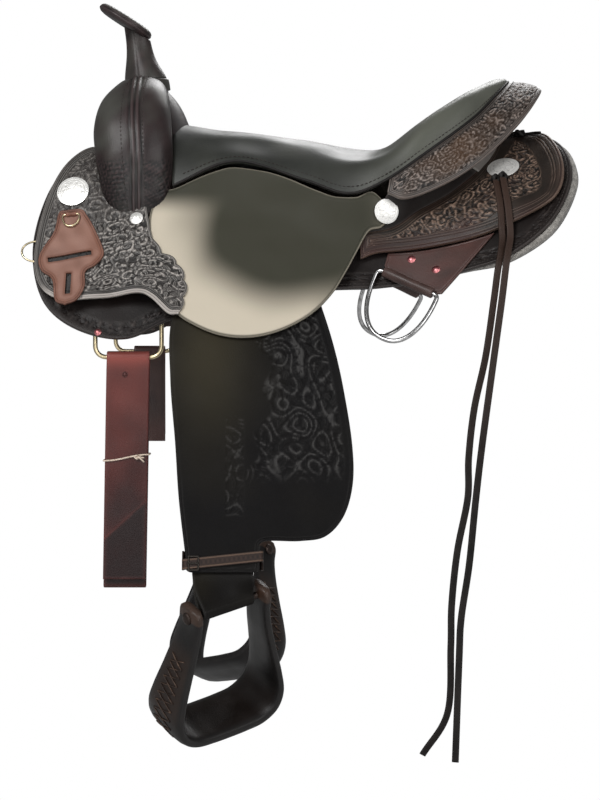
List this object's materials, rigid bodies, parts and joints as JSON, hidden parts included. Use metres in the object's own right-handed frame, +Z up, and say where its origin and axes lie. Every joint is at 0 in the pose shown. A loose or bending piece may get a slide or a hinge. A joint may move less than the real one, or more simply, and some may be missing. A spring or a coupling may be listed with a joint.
{
  "type": "western trail saddle",
  "caption": "Western trail saddle with horn, tooled leather skirts and jockeys, swinging fenders, bell stirrups, cinch strap and hinged rigging rings.",
  "frame": {"origin": "on the horse's spine line under the lowest part of the seat, where the saddle rests", "axes": "+X to the cantle and the horse's tail, +Y to the off (right) side, +Z up; -Y is the near side"},
  "size_m": [0.7223, 0.6688, 0.9861],
  "materials": {
    "tree_wood": "rawhide-covered pine",
    "steel": "polished steel, slightly dulled",
    "brass": "cream plated brass",
    "silver": "engraved nickel silver",
    "seat_leather": "smooth olive-black seat leather",
    "tooled_leather": "dark oiled leather, floral tooling",
    "dark_leather": "dark oiled skirting leather",
    "latigo_leather": "oxblood latigo leather",
    "keeper_leather": "worn reddish-brown leather",
    "string_leather": "limp latigo lace",
    "fleece": "grey sheep fleece"
  },
  "bodies": {
    "saddle": {"tree_bar_near": "tree_wood", "tree_bar_off": "tree_wood", "skirt_near": "tooled_leather", "skirt_off": "tooled_leather", "fleece_near": "fleece", "fleece_off": "fleece", "tree_fork": "tree_wood", "seat_jockey_near": "seat_leather", "seat_jockey_off": "seat_leather", "front_jockey_near": "tooled_leather", "front_jockey_off": "tooled_leather", "rear_jockey_near": "tooled_leather", "rear_jockey_off": "tooled_leather", "seat_cover": "seat_leather", "ground_seat": "dark_leather", "horn_post": "steel", "fork_cover": "tooled_leather", "horn_neck_wrap": "dark_leather", "horn_cap": "dark_leather", "tree_cantle": "tree_wood", "cheyenne_roll": "tooled_leather", "cantle_back": "tooled_leather", "rear_rigging_strap_near": "dark_leather", "rear_rigging_strap_off": "dark_leather", "front_rigging_loop_near": "dark_leather", "front_rigging_loop_off": "dark_leather", "breast_loop_near": "dark_leather", "breast_loop_off": "dark_leather", "latigo_keeper": "keeper_leather", "front_concho_near": "silver", "front_concho_off": "silver", "side_concho_near": "silver", "side_concho_off": "silver", "rear_concho_near": "silver", "rear_concho_off": "silver", "rear_lace": "string_leather", "saddle_string_long_near": "string_leather", "saddle_string_short_near": "string_leather"},
    "fender_swinger_near": {"fender_near": "tooled_leather", "stirrup_leather_near": "dark_leather", "hobble_strap_near": "dark_leather"},
    "fender_swinger_off": {"fender_off": "tooled_leather", "stirrup_leather_off": "dark_leather", "hobble_strap_off": "dark_leather"},
    "stirrup_swinger_near": {"stirrup_near": "dark_leather", "stirrup_bolt_near": "steel"},
    "stirrup_swinger_off": {"stirrup_off": "dark_leather", "stirrup_bolt_off": "steel"},
    "rear_ring_near": {"rear_dee_near": "steel"},
    "rear_ring_off": {"rear_dee_off": "steel"},
    "front_ring_near": {"front_dee_near": "brass"},
    "front_ring_off": {"front_dee_off": "brass"},
    "latigo_strap": {"latigo": "latigo_leather", "latigo_tie": "keeper_leather"},
    "billet_strap": {"off_billet": "dark_leather"},
    "breast_ring_near": {"breast_dee_near": "brass"},
    "breast_ring_off": {"breast_dee_off": "brass"},
    "keeper_ring": {"keeper_dee": "brass"}
  },
  "joints": [
    {"name": "fender_swing_near", "type": "hinge", "parent": "saddle", "child": "fender_swinger_near", "pos_m": [-0.062, -0.11009, -0.04774], "axis": [0, 0.8829, -0.4695], "range_deg": [-10, 14]},
    {"name": "fender_swing_off", "type": "hinge", "parent": "saddle", "child": "fender_swinger_off", "pos_m": [-0.062, 0.11009, -0.04774], "axis": [0, 0.8829, 0.4695], "range_deg": [-10, 14]},
    {"name": "stirrup_swing_near", "type": "hinge", "parent": "fender_swinger_near", "child": "stirrup_swinger_near", "pos_m": [-0.092, -0.287, -0.541], "axis": [0.8013, 0.561, 0.2079], "range_deg": [-30, 30]},
    {"name": "stirrup_swing_off", "type": "hinge", "parent": "fender_swinger_off", "child": "stirrup_swinger_off", "pos_m": [-0.092, 0.287, -0.541], "axis": [-0.8013, 0.561, -0.2079], "range_deg": [-30, 30]},
    {"name": "rear_ring_hinge_near", "type": "hinge", "parent": "saddle", "child": "rear_ring_near", "pos_m": [0.13839, -0.17618, -0.14078], "axis": [-0.829, 0.4049, 0.3857], "range_deg": [0, 80]},
    {"name": "rear_ring_hinge_off", "type": "hinge", "parent": "saddle", "child": "rear_ring_off", "pos_m": [0.13839, 0.17618, -0.14078], "axis": [0.829, 0.4049, -0.3857], "range_deg": [0, 80]},
    {"name": "front_ring_hinge_near", "type": "hinge", "parent": "saddle", "child": "front_ring_near", "pos_m": [-0.22, -0.16741, -0.18035], "axis": [1, 0, 0], "range_deg": [-4, 25]},
    {"name": "front_ring_hinge_off", "type": "hinge", "parent": "saddle", "child": "front_ring_off", "pos_m": [-0.22, 0.16741, -0.18035], "axis": [-1, 0, 0], "range_deg": [-4, 25]},
    {"name": "latigo_swing", "type": "hinge", "parent": "front_ring_near", "child": "latigo_strap", "pos_m": [-0.22, -0.16741, -0.23635], "axis": [1, 0, 0], "range_deg": [-4, 20]},
    {"name": "billet_swing", "type": "hinge", "parent": "front_ring_off", "child": "billet_strap", "pos_m": [-0.22, 0.16741, -0.23635], "axis": [-1, 0, 0], "range_deg": [-4, 20]},
    {"name": "breast_ring_hinge_near", "type": "hinge", "parent": "saddle", "child": "breast_ring_near", "pos_m": [-0.335, -0.14194, -0.10068], "axis": [0, 0.4738, 0.8806], "range_deg": [-6, 12]},
    {"name": "breast_ring_hinge_off", "type": "hinge", "parent": "saddle", "child": "breast_ring_off", "pos_m": [-0.335, 0.14194, -0.10068], "axis": [0, 0.4738, -0.8806], "range_deg": [-6, 12]},
    {"name": "keeper_ring_hinge", "type": "hinge", "parent": "saddle", "child": "keeper_ring", "pos_m": [-0.29576, -0.13605, -0.05235], "axis": [-0.9906, 0.1162, -0.072], "range_deg": [0, 60]}
  ]
}
